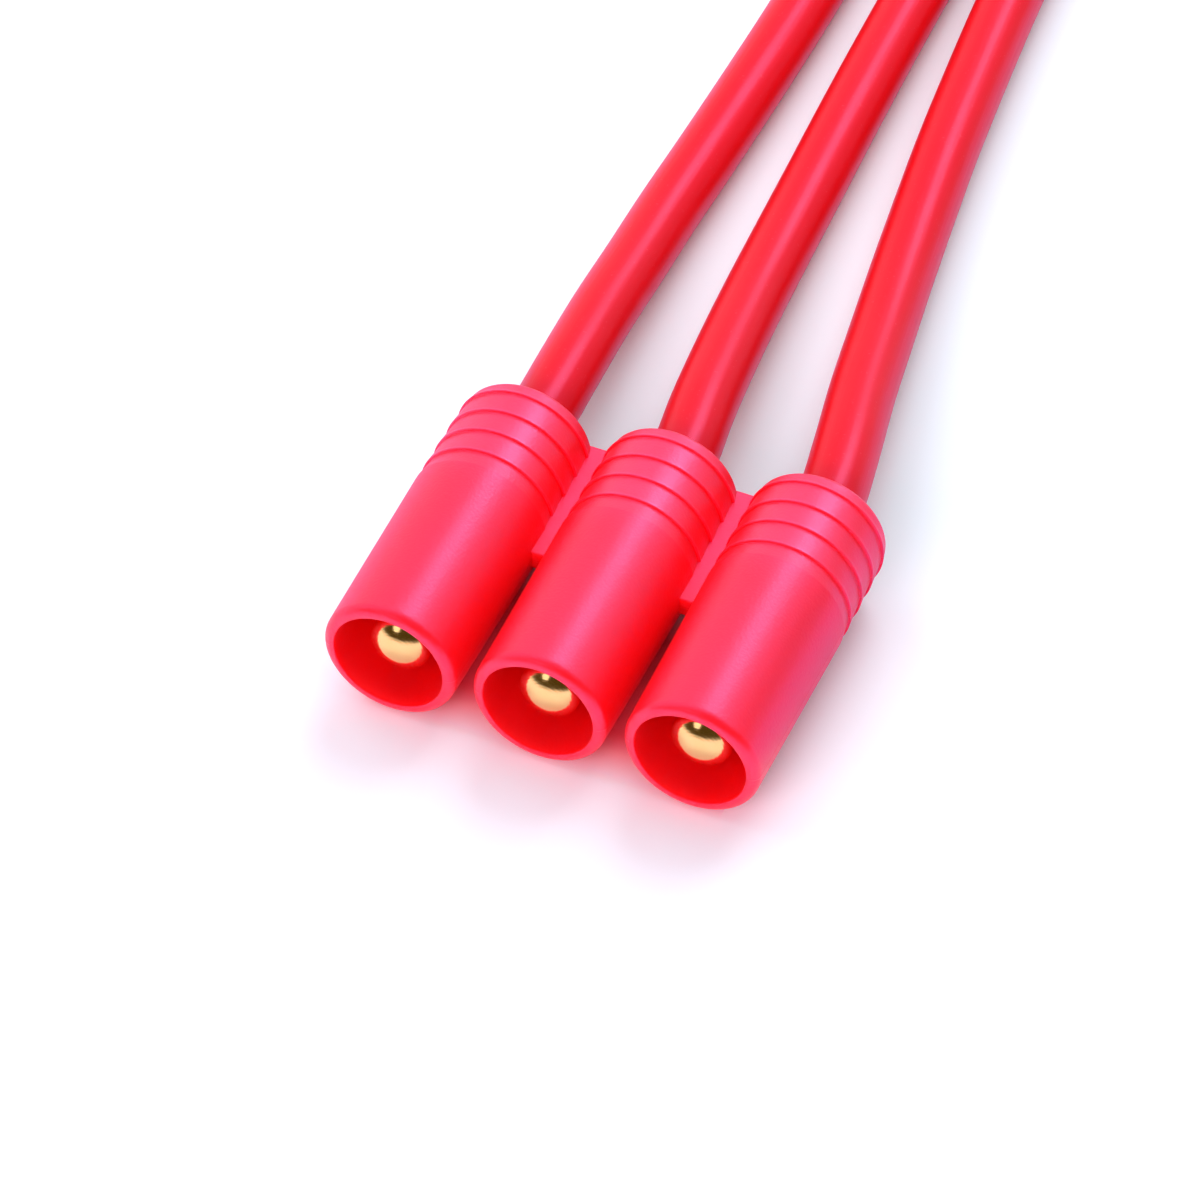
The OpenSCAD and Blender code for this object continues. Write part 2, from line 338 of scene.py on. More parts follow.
def route_points(pole):
    """Points of one lead's middle line, on a smooth curve that is straight along Y at both ends."""
    knots = [
        Vector((
            pole * POLE_PITCH + row[2 + pole] * MM,
            LEAD_START_Y + row[0] * MM,
            LEAD_REST_Z + row[4] * (AXIS_Z - LEAD_REST_Z),
        ))
        for row in LEAD_ROUTE
    ]
    slopes = [(after - before) / (after.y - before.y) for before, after in zip(knots, knots[2:])]
    slopes = [Vector((0, 1, 0)), *slopes, Vector((0, 1, 0))]
    points = []
    for a, b, leaving, arriving in zip(knots, knots[1:], slopes, slopes[1:]):
        span = b.y - a.y
        parts = round(span / ROUTE_STEP)
        for t in (k / parts for k in range(parts)):
            points.append(
                a * (1 + 2 * t) * (1 - t) ** 2
                + leaving * span * t * (1 - t) ** 2
                + b * t * t * (3 - 2 * t)
                + arriving * span * t * t * (t - 1)
            )
    return [*points, knots[-1]]


def line_mesh(name, points):
    mesh = bpy.data.meshes.new(name)
    mesh.from_pydata(points, [(i, i + 1) for i in range(len(points) - 1)], [])
    return mesh


def length_of(points):
    return sum((b - a).length for a, b in zip(points, points[1:]))


routes = {side: route_points(pole) for side, pole in POLES.items()}
for side, points in routes.items():
    print(side, "lead:", len(points), "points,", round(length_of(points) / MM, 1), "mm of insulation")

# %% [markdown]
# ## Silicone
# Silicone insulation is drawn through a die, so it has fine marks along its length, and it is soft enough
# to hold some dust. Noise that is read from the place in the room would not follow the bends. So this
# finish reads two values that the tube carries: the distance along the lead and the place in the ring.

# %% Silicone finish
def silicone():
    """Rubbery red with faint drawing marks along the lead and a little dust."""
    finish = Finish(
        "red_silicone", Specular_IOR_Level=0.46, Specular_Tint=colour(1.0, 0.32, 1.0), Subsurface_Weight=0.2,
        Subsurface_Radius=(1.0, 0.1, 0.1), Subsurface_Scale=0.5 * MM,
    )
    ring = finish.node("ShaderNodeAttribute", {"attribute_name": "ring"}, None, "Vector")
    along = finish.node("ShaderNodeAttribute", {"attribute_name": "along"}, None, "Fac")
    around = finish.node("ShaderNodeSeparateXYZ", None, {"Vector": ring})
    parts = {"X": around, "Y": around.out("Y"), "Z": along}
    straight = finish.node("ShaderNodeCombineXYZ", None, parts)
    drawn = finish.noise(finish.stretch(straight, (1.0, 1.0, 0.03)), scale=4200, detail=3.0)
    cloud = finish.noise(straight, scale=420, detail=3.0)
    dust = finish.between(finish.noise(straight, scale=5200, detail=1.0), 0.68, 0.8)
    red = finish.tint(cloud, colour(0.74, 0.003, 0.005), colour(0.80, 0.005, 0.009))
    red = finish.tint(dust * 0.08, red, colour(1.0, 0.30, 0.36))
    finish.paint(red, 0.23 + 0.10 * cloud + 0.08 * drawn)
    finish.relief(drawn + 0.3 * cloud, 0.012 * MM)
    return finish.material


rubber = silicone()
print("lead finish:", rubber.name, len(rubber.node_tree.nodes), "nodes")

# %% [markdown]
# ## The tubes
# A curve with a bevel would make a tube. Geometry Nodes sweep a ring along the route as well, and they can
# store on each point how far along the lead and where in the ring it came from, which are the two values
# that the finish reads. A Solidify modifier then gives the tube its wall.

# %% A tube swept along a route
def sleeve_maker():
    """Sweeps a ring along a line, and stores the distance along it and the place in the ring."""
    maker = Maker("lead_sleeve", Radius=float, Sides=int)
    line = maker.node("GeometryNodeMeshToCurve", None, {"Mesh": maker.given("Geometry")})
    line = maker.node("GeometryNodeSetCurveNormal", {"mode": "Z_UP"}, {"Curve": line})
    distance = maker.node("GeometryNodeSplineParameter", None, None, "Length")
    named = {"Geometry": line, "Name": "along", "Value": distance}
    number = {"data_type": "FLOAT", "domain": "POINT"}
    line = maker.node("GeometryNodeStoreNamedAttribute", number, named)
    size = {"Radius": maker.given("Radius"), "Resolution": maker.given("Sides")}
    ring = maker.node("GeometryNodeCurvePrimitiveCircle", {"mode": "RADIUS"}, size)
    named = {"Geometry": ring, "Name": "ring", "Value": maker.node("GeometryNodeInputPosition")}
    vector = {"data_type": "FLOAT_VECTOR", "domain": "POINT"}
    ring = maker.node("GeometryNodeStoreNamedAttribute", vector, named)
    tube = maker.node("GeometryNodeCurveToMesh", None, {"Curve": line, "Profile Curve": ring})
    return maker.end(tube)


WIRE_D, CONDUCTOR_D, LEAD_SIDES = 3.65 * MM, 1.85 * MM, 56
sleeve = sleeve_maker()
leads = {}
for side, points in routes.items():
    route = line_mesh(side, points)
    skin = grow("skin_" + side, sleeve, route, rubber, Radius=WIRE_D / 2, Sides=LEAD_SIDES)
    wall = skin.modifiers.new("wall", "SOLIDIFY")
    wall.thickness = (WIRE_D - CONDUCTOR_D) / 2
    wall.offset = -1
    lead = plain_mesh("lead_" + side, skin)
    crease(lead, 40)
    leads[side] = lead
    print(lead.name, len(lead.data.polygons), "faces", list(lead.data.attributes.keys()))

# %% [markdown]
# ## The stranded conductors
# Inside each sleeve lies a rope of fine copper strands, and 5 mm of it shows at the far end. The strands
# are tinned, so they look like dull silver with a little copper showing through. At this size a metal
# shader does it, with a broad noise for the copper and a fine one for the roughness.

# %% Tinned strand finish
def tinned_strand():
    """Dull tin with some copper showing through."""
    finish = Finish("tinned_strand", Metallic=1.0)
    where = finish.where()
    fine = finish.noise(where, scale=9000, detail=3.0)
    broad = finish.noise(where, scale=900, detail=2.0)
    copper = finish.between(broad, 0.52, 0.72)
    metal = finish.tint(copper * 0.55, colour(0.74, 0.72, 0.69), colour(0.80, 0.52, 0.36))
    finish.paint(metal, 0.26 + 0.22 * fine)
    finish.relief(fine, 0.01 * MM)
    return finish.material


strand_finish = tinned_strand()
print("strand finish:", strand_finish.name, len(strand_finish.node_tree.nodes), "nodes")

# %% [markdown]
# ## The twisted bundles
# A rope is a good use of Curve to Mesh: the profile is a whole bundle of little circles, in rings of 6, 12,
# 18 and 24 round one, and the tilt of the route twists the bundle as it is swept. Modelling one strand and
# copying it would mean bending every copy along the lead. A core fills the valleys between the strands, as
# the tin does, and the bundle is drawn in a little at its tip.

# %% A twisted bundle swept along a route
LAYERS, STRAND_SIDES = 4, 7
STRAND_D = CONDUCTOR_D / (2 * LAYERS + 1)
CORE_SIDES, CORE_LAYERS, TIP_SHARE = 24, LAYERS + 0.12, 0.8


def rope_maker():
    """Sweeps a bundle of strands along a line, twisted and drawn in at the tip."""
    maker = Maker("twisted_strands", Strand=float, Lay=float, Tip=float)
    strand = maker.given("Strand")
    line = maker.node("GeometryNodeMeshToCurve", None, {"Mesh": maker.given("Geometry")})
    line = maker.node("GeometryNodeSetCurveNormal", {"mode": "Z_UP"}, {"Curve": line})
    share = maker.node("GeometryNodeSplineParameter")
    twist = share.out("Length") * (2 * math.pi) / maker.given("Lay")
    line = maker.node("GeometryNodeSetCurveTilt", None, {"Curve": line, "Tilt": twist})
    left = maker.node("GeometryNodeSplineLength") - share.out("Length")
    taper = {"Value": left, "From Max": maker.given("Tip"), "To Min": TIP_SHARE, "To Max": 1.0}
    taper = maker.node("ShaderNodeMapRange", {"interpolation_type": "SMOOTHSTEP"}, taper)
    line = maker.node("GeometryNodeSetCurveRadius", None, {"Curve": line, "Radius": taper})
    middle = maker.node("GeometryNodeMeshLine", None, {"Count": 1})
    layers = [
        maker.node("GeometryNodeMeshCircle", None, {"Vertices": 6 * k, "Radius": strand * float(k)})
        for k in range(1, LAYERS + 1)
    ]
    spots = maker.node("GeometryNodeJoinGeometry", None, {"Geometry": [middle, *layers]})
    circle = {"Resolution": STRAND_SIDES, "Radius": strand * 0.5}
    circle = maker.node("GeometryNodeCurvePrimitiveCircle", {"mode": "RADIUS"}, circle)
    bundle = maker.node("GeometryNodeInstanceOnPoints", None, {"Points": spots, "Instance": circle})
    bundle = maker.node("GeometryNodeRealizeInstances", None, {"Geometry": bundle})
    core = {"Resolution": CORE_SIDES, "Radius": strand * CORE_LAYERS}
    core = maker.node("GeometryNodeCurvePrimitiveCircle", {"mode": "RADIUS"}, core)
    bundle = maker.node("GeometryNodeJoinGeometry", None, {"Geometry": [bundle, core]})
    swept = {"Curve": line, "Profile Curve": bundle, "Fill Caps": True}
    return maker.end(maker.node("GeometryNodeCurveToMesh", None, swept))


CONDUCTOR_START_Y, BARE_LENGTH, BARE_STEPS = 4.0 * MM, 5.0 * MM, 14
rope_sizes = {"Strand": STRAND_D, "Lay": 16 * MM, "Tip": 0.7 * MM}
rope = rope_maker()
strands = {}
for side, points in routes.items():
    head = [Vector((points[0].x, CONDUCTOR_START_Y, points[0].z))]
    bare = [BARE_LENGTH * k / BARE_STEPS for k in range(1, BARE_STEPS + 1)]
    tail = [points[-1] + Vector((0, y, 0)) for y in bare]
    through = line_mesh("core_" + side, head + points[::2] + tail)
    strands[side] = grow("strands_" + side, rope, through, strand_finish, **rope_sizes)
    print(strands[side].name, len(strands[side].data.polygons), "faces")

# %% [markdown]
# ## The leads in the part
# The leads are loose. Each is attached to the part's root together with its strands, and the frame's own
# insulation and conductor are hidden, as these pieces take their place.

for side, points in routes.items():
    lead, bundle = leads[side], strands[side]
    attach(lead, "root")
    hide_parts("insulation_" + side)
    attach(bundle, "root")
    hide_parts("conductor_" + side)
    round(length_of(points), 4)
print("cords declared:", ", ".join(o.name for o in leads.values()))

# %% [markdown]
# ## Turned shapes
# Barrels and contacts are round about their pole, so each is one half-section turned about that axis.
# Blender's Screw modifier or the Spin tool could turn it; a short function is used here because it also
# rounds every corner of the section. A corner with no rounding catches no light and looks like a drawing,
# not like a part. Each rounding gets a support point just outside it, which keeps the long flat faces flat
# when shaded smooth. Large roundings, such as the mouth's and the nose's, are drawn as arcs of their own.

# %% Rounded sections and lathe
MOUTH_Y = -9 * MM
CORNER_STEPS, EDGE_SHARE = 4, 0.45
SUPPORT, SUPPORT_SHARE = 0.04, 0.04
ON_AXIS = 1e-6


def softened(section, closed):
    """Points of a section of (radius, station, rounding) corners in millimetres, with the corners rounded."""
    total = len(section)
    points = []
    for i, (r, s, rounding) in enumerate(section):
        corner = Vector((r, s))
        if not closed and i in (0, total - 1) or rounding == 0:
            points.append(corner)
            continue
        before = Vector(section[i - 1][:2]) - corner
        after = Vector(section[(i + 1) % total][:2]) - corner
        half = before.angle(after) / 2
        shorter = min(before.length, after.length)
        before, after = before.normalized(), after.normalized()
        reach = min(rounding / math.tan(half), EDGE_SHARE * shorter)
        radius = reach * math.tan(half)
        middle = corner + (before + after).normalized() * (radius / math.sin(half))
        first = (corner + before * reach - middle).normalized()
        last = (corner + after * reach - middle).normalized()
        outside = reach + min(SUPPORT, SUPPORT_SHARE * shorter)
        points.append(corner + before * outside)
        for k in range(CORNER_STEPS + 1):
            points.append(middle + first.slerp(last, k / CORNER_STEPS) * radius)
        points.append(corner + after * outside)
    return points


def arc(middle_r, middle_s, radius, first, last, steps):
    """Corners of an arc between two angles: 0 degrees is outwards, 90 to the front, -90 to the rear."""
    angles = [math.radians(first + (last - first) * k / steps) for k in range(steps + 1)]
    return [(middle_r + radius * math.cos(a), middle_s - radius * math.sin(a), 0) for a in angles]


def turned(name, section, closed, sides=128):
    """A mesh turned about the centre pole from a section in millimetres."""
    made = bmesh.new()
    rings = []
    for r, s in section:
        angles = [2 * math.pi * k / sides for k in range(sides if r > ON_AXIS else 1)]
        spokes = [(r * MM * math.sin(a), r * MM * math.cos(a)) for a in angles]
        rings.append([made.verts.new((x, MOUTH_Y + s * MM, AXIS_Z + z)) for x, z in spokes])
    pairs = list(zip(rings, rings[1:])) + ([(rings[-1], rings[0])] if closed else [])
    for one, two in pairs:
        for k in range(sides):
            near, far = (k % len(one), (k + 1) % len(one)), ((k + 1) % len(two), k % len(two))
            corners = dict.fromkeys([one[near[0]], one[near[1]], two[far[0]], two[far[1]]])
            if len(corners) > 2:
                made.faces.new(list(corners))
    bmesh.ops.recalc_face_normals(made, faces=made.faces)
    for face in made.faces:
        face.smooth = True
    return as_mesh(name, made)


print("a rounded square corner has", len(softened([(0, 0, 0), (1, 0, 0.1), (1, 1, 0)], False)), "points")

# %% [markdown]
# ## A row of poles
# Barrel, contact and spring are the same at all three poles, so each is built once and repeated. An Array
# modifier would do that too. A tree that puts copies on the points of a short line has the count and the
# pitch as its inputs, and one tree serves for barrels, webs and contacts.

# %% A row of poles
def row_maker():
    """Repeats a mesh along the row of poles."""
    maker = Maker("pole_row", Count=int, Pitch=float)
    pitch, count = maker.given("Pitch"), maker.given("Count")
    first = maker.node("ShaderNodeCombineXYZ", None, {"X": pitch * (count - 1) * -0.5})
    step = maker.node("ShaderNodeCombineXYZ", None, {"X": pitch})
    line = {"Count": count, "Start Location": first, "Offset": step}
    line = maker.node("GeometryNodeMeshLine", {"mode": "OFFSET"}, line)
    row = {"Points": line, "Instance": maker.given("Geometry")}
    return maker.end(maker.node("GeometryNodeInstanceOnPoints", None, row))


row = row_maker()
print("row tree has", len(row.tree.nodes), "nodes")

# %% [markdown]
# ## The housing
# One red moulding: three barrels with open shrouds in front, four rings at the rear that flare forward to a
# sharp shoulder for the fingers to pull on, and a flat web on each side of the middle barrel. The surface
# has the fine grain of a spark-eroded mould, a hair of a parting line at mid height where the halves of the
# mould met, and ring crests that are worn smooth and carry a faint painted highlight. A painted pink sheen
# lies on the faces that look up, most over the rear rings. An image could hold all of that, but it would
# need an unwrapped mesh and would be sharp at one size only. Here it is placed by Object coordinates, so it
# keeps its size in millimetres; the painted sheen also follows the way a face looks.

# %% Moulded plastic finish
# In millimetres; a shoulder's number is its distance behind the mouth
MOUTH_R, RING_R, ROOT_R, SHROUD_R = 3.7, 3.85, 3.7, 3.05
RING_COUNT, RING_PITCH, LAST_SHOULDER = 4, 1.55, 17.0
SHOULDERS = [LAST_SHOULDER - RING_PITCH * k for k in range(RING_COUNT)]


def moulded_plastic():
    """Satin red with mould grain, a parting line, ring crests worn smooth with a painted highlight, and a
    painted sheen on top.
    """
    finish = Finish(
        "moulded_red_plastic", IOR=1.62, Specular_IOR_Level=1.0, Specular_Tint=colour(1.0, 0.38, 1.0),
        Subsurface_Weight=1.0, Subsurface_Radius=(1.0, 0.08, 0.08), Subsurface_Scale=1.3 * MM,
    )
    where = finish.where()
    x = finish.node("ShaderNodeSeparateXYZ", None, {"Vector": where})
    station, height = x.out("Y") - MOUTH_Y, x.out("Z") - AXIS_Z
    across = (x + 1.5 * POLE_PITCH) % POLE_PITCH - 0.5 * POLE_PITCH
    radius = finish.length(finish.node("ShaderNodeCombineXYZ", None, {"X": across, "Y": height}))
    grain = finish.noise(where, scale=6500, detail=2.0)
    flow = finish.noise(finish.stretch(where, (1.0, 0.35, 1.0)), scale=380, detail=3.0)
    ring_front = SHOULDERS[-1] * MM
    on_rings = (radius > (ROOT_R - 0.1) * MM) * (radius < (RING_R + 0.03) * MM)
    on_rings = on_rings * (station > ring_front - 0.01 * MM)
    edge = (station - ring_front) % (RING_PITCH * MM)
    # Ring crests: worn smoother, and tinted pink as a painted highlight
    rubbed_and_highlit = on_rings * (1 - finish.between(edge, 0.06 * MM, 0.3 * MM))
    outside = radius > (SHROUD_R + 0.2) * MM
    parting = outside * (1 - finish.between(abs(height), 0.02 * MM, 0.07 * MM))
    facing = finish.node("ShaderNodeNewGeometry", None, None, "Normal")
    upward = finish.node("ShaderNodeSeparateXYZ", None, {"Vector": facing}, "Z")
    # Painted pink sheen on faces that look up, strongest over the rear rings
    rear_sheen_share = finish.between(station, ring_front - 3.0 * MM, ring_front + 1.0 * MM)
    painted_sheen = 0.06 * finish.between(upward, 0.5, 1.0) + 0.16 * rear_sheen_share * finish.between(upward, 0.65, 1.0)
    red = finish.tint(flow, colour(0.89, 0.004, 0.006), colour(0.93, 0.008, 0.012))
    # Tints the red pink where the painted highlight and the painted sheen lie
    red = finish.tint(rubbed_and_highlit * 0.1 + outside * painted_sheen, red, colour(0.9, 0.11, 0.40))
    finish.paint(red, 0.30 + 0.10 * grain + 0.05 * flow - 0.06 * rubbed_and_highlit)
    finish.relief(grain + 0.8 * parting, 0.014 * MM)
    return finish.material


plastic = moulded_plastic()
print("housing finish:", plastic.name, len(plastic.node_tree.nodes), "nodes")

# %% [markdown]
# ## The barrels
# The barrel's section is one closed loop. It runs forward over the rings to the mouth, and back through the
# inside: the shroud, the partition, the seat that the contact's collar rests on, the lip that it snaps
# past, and the rear bore. Cutting bores from a rod by Booleans would give the same form, but a loop is
# watertight by itself.

# %% Barrels
HOUSING_LENGTH, SHROUD_DEPTH, SEAT, LIP_FRONT, LIP_BACK = 18, 10.2, 11.4, 12.3, 12.8
SHANK_HOLE_R, LIP_R, REAR_R, LEAD_IN_R = 1.85, 2.1, 2.4, 2.7
REAR_EDGE, MOUTH_EDGE, FRONT_FLARE = 0.45, 0.5, 1
barrel_section = [(LEAD_IN_R, HOUSING_LENGTH, 0.12)]
barrel_section += arc(ROOT_R - REAR_EDGE, HOUSING_LENGTH - REAR_EDGE, REAR_EDGE, -90, 0, 8)
for shoulder in SHOULDERS:
    barrel_section += [(RING_R, shoulder, 0.1), (ROOT_R, shoulder, 0.08)]
barrel_section += [(RING_R, SHOULDERS[-1] - FRONT_FLARE, 0.6), (MOUTH_R, MOUTH_EDGE + 0.1, 0)]
barrel_section += arc(MOUTH_R - MOUTH_EDGE, MOUTH_EDGE, MOUTH_EDGE, 0, 90, 10)
barrel_section += [
    (SHROUD_R, 0, 0.06), (SHROUD_R, SHROUD_DEPTH, 0.12),
    (SHANK_HOLE_R, SHROUD_DEPTH, 0.08), (SHANK_HOLE_R, SEAT, 0.05),
    (REAR_R, SEAT, 0.05), (REAR_R, LIP_FRONT, 0.05), (LIP_R, LIP_FRONT, 0.05), (LIP_R, LIP_BACK, 0.05),
    (REAR_R, LIP_BACK + 0.5, 0.1), (REAR_R, HOUSING_LENGTH - 0.3, 0.1),
]
barrel = turned("barrel", softened(barrel_section, closed=True), closed=True)
barrels = grow("barrels", row, barrel, plastic, Count=len(POLES), Pitch=POLE_PITCH)
print("barrels:", len(barrels.data.polygons), "faces")

# %% [markdown]
# ## The webs
# Two flat bars tie the barrels together. They could stay boxes pushed into the barrels, but the housing is
# one moulding, and inner walls would show in a section and in the light under the skin. So a Boolean joins
# them.

# %% Webs, and the two made one
WEB_LOW, WEB_HIGH, WEB_EDGE = Vector((3.2, 0.55, 3.25)), Vector((5.15, 8.95, 4.45)), 0.12


def web_mesh():
    """A flat bar with softened edges, between the middle of two poles."""
    made = bmesh.new()
    bmesh.ops.create_cube(made, size=1)
    middle, size = (WEB_LOW + WEB_HIGH) / 2, WEB_HIGH - WEB_LOW
    for v in made.verts:
        v.co = Vector((v.co.x * size.x, v.co.y * size.y + middle.y, v.co.z * size.z + middle.z)) * MM
    rounding = {"offset": WEB_EDGE * MM, "segments": 4, "profile": 0.5, "affect": "EDGES"}
    bmesh.ops.bevel(made, geom=made.edges[:], **rounding)
    return as_mesh("web", made)


webs = grow("webs", row, web_mesh(), plastic, Count=len(POLES) - 1, Pitch=POLE_PITCH)
union = barrels.modifiers.new("webs", "BOOLEAN")
union.operation, union.solver, union.object = "UNION", "EXACT", webs
housing = plain_mesh("housing_moulding", barrels)
bpy.data.objects.remove(webs)
crease(housing)
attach(housing, "root")
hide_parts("housing")
print("housing:", len(housing.data.polygons), "faces")

# %% [markdown]
# ## The contacts
# Each contact is turned from brass in one piece and plated with gold: a domed nose, a thin spindle for the
# spring, a shank, a collar that seats in the housing, and a cup with a small window for the solder. Gold is
# a plain metal shader with a warm colour. What makes it look turned is a faint ripple along the axis, drawn
# as a bump, because real marks of that size would take millions of faces.

# %% Gold plate finish
TURNING_PITCH = 0.09 * MM


def gold_plate(name, ripple, low, high):
    """Bright gold between two tones, with turning marks along the axis."""
    finish = Finish(name, Metallic=1.0)
    where = finish.where()
    axis = finish.node("ShaderNodeSeparateXYZ", None, {"Vector": where}, "Y")
    cloud = finish.noise(where, scale=1500, detail=3.0)
    wander = finish.noise(where, scale=700, detail=2.0)
    marks = (axis * (2 * math.pi / TURNING_PITCH) + wander * 5).sine()
    finish.paint(finish.tint(cloud, low, high), 0.10 + 0.10 * cloud)
    finish.relief(marks * ripple + cloud, 0.002 * MM)
    return finish.material


gold = gold_plate("turned_gold_plate", 0.2, colour(0.92, 0.55, 0.22), colour(0.96, 0.61, 0.28))
print("contact finish:", gold.name, len(gold.node_tree.nodes), "nodes")

# %% [markdown]
# ## The turned shape
# The nose is a wide dome with a rounded edge, so it is drawn as two arcs that run into each other. The rest
# of the section follows down to the floor of the solder cup, on the axis. The cup's window is not round
# about the axis, so a Boolean drills it before the contact is repeated.

# %% Contacts
# In millimetres, from the tip back to the solder cup
NOSE_R, DOME_R, NOSE_EDGE, TIP, NOSE_BACK = 1.65, 2.1, 0.5, 0.6, 2.4
SPINDLE_R, SHANK_FRONT, SHANK_R, COLLAR_R, COLLAR_BACK = 0.9, 8.7, 1.75, 2.3, 12.2
CUP_R, CUP_BORE_R, CUP_FLOOR, CUP_BACK = 2.0, 1.4, 12.6, 16.75
WINDOW_R, WINDOW_STATION, DRILL_DEPTH = 0.5, 14.675, 2.6
lean = math.asin((NOSE_R - NOSE_EDGE) / (DOME_R - NOSE_EDGE))
edge_middle = TIP + DOME_R - (DOME_R - NOSE_EDGE) * math.cos(lean)
join = 90 - math.degrees(lean)
nose = [(0, TIP, 0), *arc(0, TIP + DOME_R, DOME_R, 90, join, 24)[1:]]
nose += arc(NOSE_R - NOSE_EDGE, edge_middle, NOSE_EDGE, join, 0, 10)[1:]
contact_section = nose + [
    (NOSE_R, edge_middle + 0.05, 0), (NOSE_R, NOSE_BACK, 0.1),
    (SPINDLE_R, NOSE_BACK, 0.05), (SPINDLE_R, SHANK_FRONT, 0.05),
    (SHANK_R, SHANK_FRONT, 0.15), (SHANK_R, SEAT, 0.04),
    (COLLAR_R, SEAT, 0.15), (COLLAR_R, COLLAR_BACK, 0.06),
    (CUP_R, COLLAR_BACK, 0.04), (CUP_R, CUP_BACK, 0.15),
    (CUP_BORE_R, CUP_BACK, 0.08), (CUP_BORE_R, CUP_FLOOR, 0.05), (0, CUP_FLOOR, 0),
]
contact_mesh = turned("contact", softened(contact_section, closed=False), closed=False, sides=96)
contact = place("contact", contact_mesh)
drill = bmesh.new()
shaft = {"radius1": WINDOW_R * MM, "radius2": WINDOW_R * MM, "depth": DRILL_DEPTH * MM}
bmesh.ops.create_cone(drill, cap_ends=True, segments=40, **shaft)
drill_middle = (0, MOUTH_Y + WINDOW_STATION * MM, AXIS_Z + DRILL_DEPTH / 2 * MM)
bmesh.ops.translate(drill, verts=drill.verts, vec=drill_middle)
cutter = place("drill", as_mesh("drill", drill))
window = contact.modifiers.new("window", "BOOLEAN")
window.operation, window.solver, window.object = "DIFFERENCE", "EXACT", cutter
contact = plain_mesh("contact_turned", contact)
contacts = grow("contacts", row, contact.data, gold, Count=len(POLES), Pitch=POLE_PITCH)
bpy.data.objects.remove(cutter)
bpy.data.objects.remove(contact)
crease(contacts)
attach(contacts, "root")
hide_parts(*("contact_" + side for side in POLES))
print("contacts:", len(contacts.data.polygons), "faces")

# %% [markdown]
# ## The spring cages
# Round each spindle sits a lantern spring: a slotted strip rolled into a cage, whose eight leaves bow
# outwards and press on the socket. A leaf could be modelled by hand from a bent plane. It is written as a
# mesh here, because the bow is a cosine and the slots have to keep their width while the radius grows.

# %% One bowed leaf
LEAF_COUNT, LEAF_T, SLOT_W = 8, 0.2, 0.3
BAND_R, CREST_R, BAND_LENGTH = 0.95, 1.55, 0.6
CAGE_FRONT, CAGE_BACK, FLARE = 2.5, 8.6, 1.65
LEAF_TUCK, FLARE_STEPS, LEAF_SPANS = 0.05, 10, 6


def leaf_mesh():
    """One leaf about the Y axis, in metres, from the front band to the back band."""
    tucked = CAGE_FRONT + BAND_LENGTH - LEAF_TUCK
    stations = [tucked + FLARE * k / FLARE_STEPS for k in range(FLARE_STEPS + 1)]
    stations += [CAGE_FRONT + CAGE_BACK - s for s in reversed(stations)]
    made = bmesh.new()
    rings = []
    for s in stations:
        from_end = min(s, CAGE_FRONT + CAGE_BACK - s)
        rise = min(1.0, max(0.0, (from_end - CAGE_FRONT - BAND_LENGTH) / FLARE))
        inner = BAND_R + (CREST_R - BAND_R) * (1 - math.cos(math.pi * rise)) / 2
        half = math.pi / LEAF_COUNT - math.asin(SLOT_W / 2 / (inner + LEAF_T / 2))
        angles = [half * (2 * k / LEAF_SPANS - 1) for k in range(LEAF_SPANS + 1)]
        corners = [(inner, a) for a in angles] + [(inner + LEAF_T, a) for a in reversed(angles)]
        spokes = [(r * MM * math.sin(a), r * MM * math.cos(a)) for r, a in corners]
        rings.append([made.verts.new((x, MOUTH_Y + s * MM, z)) for x, z in spokes])
    for one, two in zip(rings, rings[1:]):
        for k in range(len(one)):
            made.faces.new([one[k], one[(k + 1) % len(one)], two[(k + 1) % len(one)], two[k]])
    made.faces.new(rings[0])
    made.faces.new(rings[-1])
    bmesh.ops.recalc_face_normals(made, faces=made.faces)
    return as_mesh("leaf", made)


leaf = leaf_mesh()
print("leaf:", len(leaf.polygons), "faces")

# %% [markdown]
# ## Leaves, bands and row
# Geometry Nodes turn copies of the leaf about the axis, add the two bands that hold the leaves, with the
# gap where the strip was rolled shut, and repeat the cage for each pole. Eight leaves turned by hand would
# do for one cage, but the tree also answers when the number of leaves or of poles is changed.

# %% Cages
BAND_SIDES, SEAM_ANGLE = 96, 0.3


